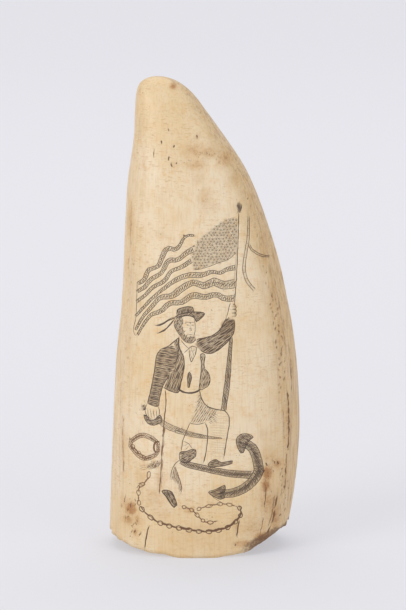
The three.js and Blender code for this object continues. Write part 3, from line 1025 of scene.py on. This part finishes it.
class Nodes:
    """Short calls that add and wire the nodes of one material."""

    def __init__(self, name):
        self.material = bpy.data.materials.new(name)
        self.material.use_nodes = True
        self.tree = self.material.node_tree
        self.tree.nodes.clear()

    def add(self, kind, inputs=None, **settings):
        """A node, with each input linked to a socket or set to a value."""
        node = self.tree.nodes.new(kind)
        for name, value in settings.items():
            setattr(node, name, value)
        for key, value in (inputs or {}).items():
            if isinstance(value, bpy.types.NodeSocket):
                self.tree.links.new(value, node.inputs[key])
            else:
                node.inputs[key].default_value = value
        return node

    def attribute(self, name):
        return self.add("ShaderNodeAttribute", attribute_name=name).outputs["Fac"]

    def math(self, operation, a, b):
        return self.add("ShaderNodeMath", {0: a, 1: b}, operation=operation).outputs[0]

    def plus(self, a, b):
        return self.math("ADD", a, b)

    def times(self, a, b):
        return self.math("MULTIPLY", a, b)

    def ramp(self, value, low, high, to_low=0.0, to_high=1.0):
        """Value between low and high, smoothly remapped; held outside them."""
        inputs = {"Value": value, "From Min": low, "From Max": high, "To Min": to_low, "To Max": to_high}
        return self.add("ShaderNodeMapRange", inputs, interpolation_type="SMOOTHSTEP").outputs[0]

    def noise(self, size, detail, roughness, seed):
        """Noise whose features are `size` millimetres along x, y and z."""
        spot = self.add("ShaderNodeTexCoord").outputs["Object"]
        scale = tuple(1 / (MM * length) for length in size)
        mapping = {"Vector": spot, "Scale": scale, "Location": (seed, seed, seed)}
        place = self.add("ShaderNodeMapping", mapping)
        inputs = {"Vector": place.outputs[0], "Scale": 1.0, "Detail": detail, "Roughness": roughness}
        return self.add("ShaderNodeTexNoise", inputs).outputs["Fac"]

    def mix(self, share, colour_a, colour_b):
        inputs = {0: share, 6: colour_a, 7: colour_b}
        return self.add("ShaderNodeMix", inputs, data_type="RGBA").outputs[2]


def tint(red, green, blue):
    """Linear colour of an sRGB colour given as 0 to 255."""
    def linear(value):
        share = value / 255
        return share / 12.92 if share <= 0.04045 else ((share + 0.055) / 1.055) ** 2.4
    return (linear(red), linear(green), linear(blue), 1.0)


CREAM = tint(236, 216, 184)
HONEY = tint(229, 202, 158)
AMBER = tint(226, 184, 122)
TAN = tint(204, 164, 112)
STAIN_BROWN = tint(172, 118, 66)
ROOT_BROWN = tint(134, 96, 64)
PIT_BROWN = tint(112, 78, 48)
# Brown of the rim grime and of the painted shade above the raised rim.
RIM_DIRT_AND_SHADE_BROWN = tint(112, 80, 52)
INK = tint(86, 68, 52)
INK_WASH = tint(134, 106, 78)
RUST_INK = tint(126, 84, 50)
# Darker brown of the inside of the hollow.
CAVITY_BROWN = tint(150, 120, 88)


def ivory_colour(nodes):
    """Colour of the bare ivory: warm and mottled, streaked at its sides, stained and pitted, with painted
    shade towards its edges and above the raised rim, and darker brown inside the hollow.
    """
    warmth_and_edge_shade = nodes.attribute("warmth_and_edge_shade")
    clouds = nodes.noise((12, 12, 18), 4, 0.55, 3.0)
    # Honey tone from clouds, the yellow tip, the warm root and painted shade towards the edges.
    warm = nodes.ramp(nodes.plus(clouds, nodes.times(warmth_and_edge_shade, 0.3)), 0.38, 0.82)
    colour = nodes.mix(warm, CREAM, HONEY)
    mottle = nodes.ramp(nodes.noise((3.0, 3.0, 2.6), 5, 0.66, 11.0), 0.46, 0.78, 0, 0.62)
    colour = nodes.mix(mottle, colour, AMBER)

    # Faint scratches across the tooth and fibres along it.
    scratches = nodes.ramp(nodes.noise((2.0, 2.0, 0.5), 3, 0.65, 61.0), 0.52, 0.7, 0, 0.6)
    worn = nodes.ramp(nodes.noise((8, 8, 10), 2, 0.5, 67.0), 0.32, 0.6)
    colour = nodes.mix(nodes.times(scratches, worn), colour, TAN)
    fibres = nodes.ramp(nodes.noise((0.55, 0.55, 11.0), 3, 0.6, 5.0), 0.45, 0.75, 0, 0.3)
    colour = nodes.mix(fibres, colour, TAN)

    streaks = nodes.ramp(nodes.noise((0.9, 0.9, 26.0), 4, 0.6, 17.0), 0.42, 0.75)
    grain_and_shade = nodes.times(nodes.attribute("grain_and_edge_shade"), 0.6)
    # Painted shade: a flat tan tint over the side strip, strongest at the convex edge; the brown streaks
    # laid over it are the real ones.
    colour = nodes.mix(nodes.times(grain_and_shade, 0.42), colour, TAN)
    colour = nodes.mix(nodes.times(streaks, grain_and_shade), colour, ROOT_BROWN)

    speckled = nodes.noise((1.3, 1.3, 1.3), 5, 0.75, 23.0)
    stained = nodes.times(nodes.attribute("stain"), 0.75)
    soft = nodes.ramp(nodes.plus(stained, nodes.times(speckled, 0.6)), 0.35, 1.0, 0, 0.7)
    colour = nodes.mix(soft, colour, TAN)
    hard = nodes.ramp(nodes.plus(stained, speckled), 0.9, 1.35, 0, 0.85)
    colour = nodes.mix(hard, colour, STAIN_BROWN)

    pits = nodes.ramp(nodes.noise((0.55, 0.55, 0.7), 2, 0.5, 31.0), 0.68, 0.76, 0, 0.7)
    patches = nodes.ramp(nodes.noise((7, 7, 9), 2, 0.5, 41.0), 0.45, 0.62)
    colour = nodes.mix(nodes.times(pits, patches), colour, PIT_BROWN)

    # Grime and painted shade along the broken rim: a brown band, broken up by crumbs, over the strip above
    # it.
    crumbs = nodes.noise((0.9, 0.9, 0.7), 4, 0.65, 71.0)
    dirt_and_shade = nodes.ramp(nodes.plus(nodes.attribute("rim_dirt_and_shade_mask"), crumbs), 0.9, 1.6, 0, 0.9)
    colour = nodes.mix(dirt_and_shade, colour, RIM_DIRT_AND_SHADE_BROWN)
    # Darker brown inside the hollow, mostly so from a quarter of its depth on.
    return nodes.mix(nodes.times(nodes.attribute("cavity"), 0.8), colour, CAVITY_BROWN)


def ivory_material():
    nodes = Nodes("engraved_ivory")
    colour = ivory_colour(nodes)
    grimy = nodes.ramp(nodes.noise((0.6, 0.6, 0.8), 3, 0.6, 73.0), 0.3, 0.6, 0.6, 1.0)
    colour = nodes.mix(nodes.times(nodes.attribute("wash"), grimy), colour, INK_WASH)
    ink_colour = nodes.mix(nodes.attribute("rust"), INK, RUST_INK)
    ink = nodes.ramp(nodes.attribute("ink"), 0.0, 0.4)
    colour = nodes.mix(ink, colour, ink_colour)

    roughness = nodes.ramp(nodes.noise((3, 3, 5), 3, 0.5, 47.0), 0.3, 0.7, 0.36, 0.52)
    fine = nodes.noise((0.35, 0.35, 2.5), 3, 0.6, 53.0)
    bump = nodes.add("ShaderNodeBump", {"Height": fine, "Strength": 0.25, "Distance": 0.1 * MM})
    shader = nodes.add("ShaderNodeBsdfPrincipled", {
        "Base Color": colour, "Roughness": roughness, "Normal": bump.outputs[0],
        "Subsurface Weight": 0.1, "Subsurface Radius": (1.0, 0.6, 0.35), "Subsurface Scale": 1.5 * MM,
    })
    nodes.add("ShaderNodeOutputMaterial", {"Surface": shader.outputs[0]})
    return nodes.material


# ---- Stage, light and camera ---------------------------------------------------------------

CAMERA_ELEVATION = math.radians(11)
CAMERA_DISTANCE = 1.1
CAMERA_TARGET = (-0.00046, 0, 0.08244)
FOCAL_LENGTH = 192.6
SENSOR = 36

# The backdrop, in metres.
SHEET_HALF_WIDTH = 4.0
SHEET_FRONT = -4.0
SHEET_BACK = 1.4        # where it begins to curve up
SHEET_RADIUS = 0.9
SHEET_TOP = 4.0
SHEET_STEPS = 24


def make_backdrop():
    """A seamless pale sheet: flat under the tooth, and curved up behind it."""
    profile = [(SHEET_FRONT, 0.0), (SHEET_BACK, 0.0)]
    for step in range(1, SHEET_STEPS + 1):
        turn = math.pi / 2 * step / SHEET_STEPS
        profile.append((SHEET_BACK + SHEET_RADIUS * math.sin(turn), SHEET_RADIUS * (1 - math.cos(turn))))
    profile.append((SHEET_BACK + SHEET_RADIUS, SHEET_TOP))
    verts = [(x, y, z) for y, z in profile for x in (-SHEET_HALF_WIDTH, SHEET_HALF_WIDTH)]
    faces = [(2 * i, 2 * i + 1, 2 * i + 3, 2 * i + 2) for i in range(len(profile) - 1)]
    nodes = Nodes("backdrop_paper")
    shader = nodes.add("ShaderNodeBsdfPrincipled", {
        "Base Color": tint(160, 159, 161), "Roughness": 0.9,
        "Emission Color": tint(232, 232, 238), "Emission Strength": 0.52,
    })
    nodes.add("ShaderNodeOutputMaterial", {"Surface": shader.outputs[0]})
    backdrop = add_object("backdrop", smooth_mesh("backdrop", verts, faces, nodes.material))


def aim(thing, target):
    thing.rotation_euler = (Vector(target) - thing.location).to_track_quat("-Z", "Y").to_euler()


def make_light(name, place, target, size, power):
    data = bpy.data.lights.new(name, "AREA")
    data.shape = "DISK"
    data.size = size
    data.energy = power
    light = add_object(name, data)
    light.location = place
    aim(light, target)


# Soft lights, as name, place, target, size and power.
MIDDLE = (0, 0, 0.08)
LIGHTS = [
    ("key_softbox", (-1.2, -1.0, 0.8), MIDDLE, 1.0, 11),
    ("fill_softbox", (1.1, -1.2, 0.6), MIDDLE, 1.2, 5),
    ("top_softbox", (0, 0.1, 1.6), MIDDLE, 1.6, 4),
    ("backdrop_softbox", (0, 0.9, 1.5), (0, 1.9, 0), 1.6, 8),
]
SKY = (0.94, 0.96, 1.0, 1.0)
SKY_STRENGTH = 0.55


def light_scene():
    for light in LIGHTS:
        make_light(*light)
    world = bpy.data.worlds.new("studio")
    world.use_nodes = True
    background = world.node_tree.nodes["Background"]
    background.inputs["Color"].default_value = SKY
    background.inputs["Strength"].default_value = SKY_STRENGTH
    bpy.context.scene.world = world
    bpy.context.scene.view_settings.view_transform = "Standard"


def make_camera():
    data = bpy.data.cameras.new("camera")
    data.sensor_fit = "VERTICAL"
    data.sensor_height = SENSOR
    data.lens = FOCAL_LENGTH
    data.clip_start = 0.1
    data.clip_end = 20
    camera = add_object("camera", data)
    target = Vector(CAMERA_TARGET)
    back = Vector((0, -math.cos(CAMERA_ELEVATION), math.sin(CAMERA_ELEVATION)))
    camera.location = target + back * CAMERA_DISTANCE
    aim(camera, target)
    bpy.context.scene.camera = camera


make_camera()
make_tooth()
make_backdrop()
light_scene()
